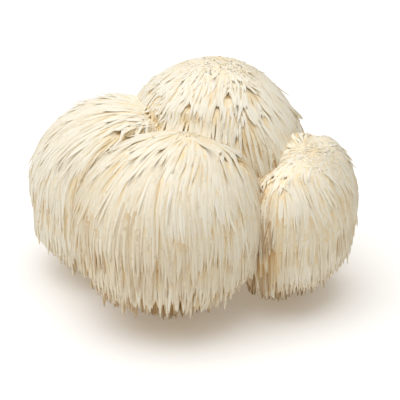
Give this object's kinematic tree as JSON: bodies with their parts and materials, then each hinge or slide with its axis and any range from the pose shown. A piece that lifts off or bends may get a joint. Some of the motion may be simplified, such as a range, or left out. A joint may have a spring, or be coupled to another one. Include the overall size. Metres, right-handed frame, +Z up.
{
  "type": "lions mane mushroom",
  "caption": "Clustered lion's mane mushroom with rounded heads of long white hanging spines that fork from one shared base, cut off flat underneath so that it rests.",
  "frame": {"origin": "on the surface that the cluster rests on, in the plane of the cut under the base, below the middle of the cluster's bounding box", "axes": "+X to the right as seen in the picture, along the widest row of heads; +Y to the back, away from the picture's camera; +Z up out of the cut face, the way the spines hang down against"},
  "size_m": [0.1655, 0.145, 0.1075],
  "materials": {
    "front_spines": "matte",
    "left_spines": "matte",
    "right_spines": "matte",
    "top_spines": "matte",
    "base_flesh": "matte"
  },
  "bodies": {
    "root": {"front_head": "front_spines", "left_head": "left_spines", "right_head": "right_spines", "top_head": "top_spines", "base": "base_flesh"}
  },
  "joints": []
}
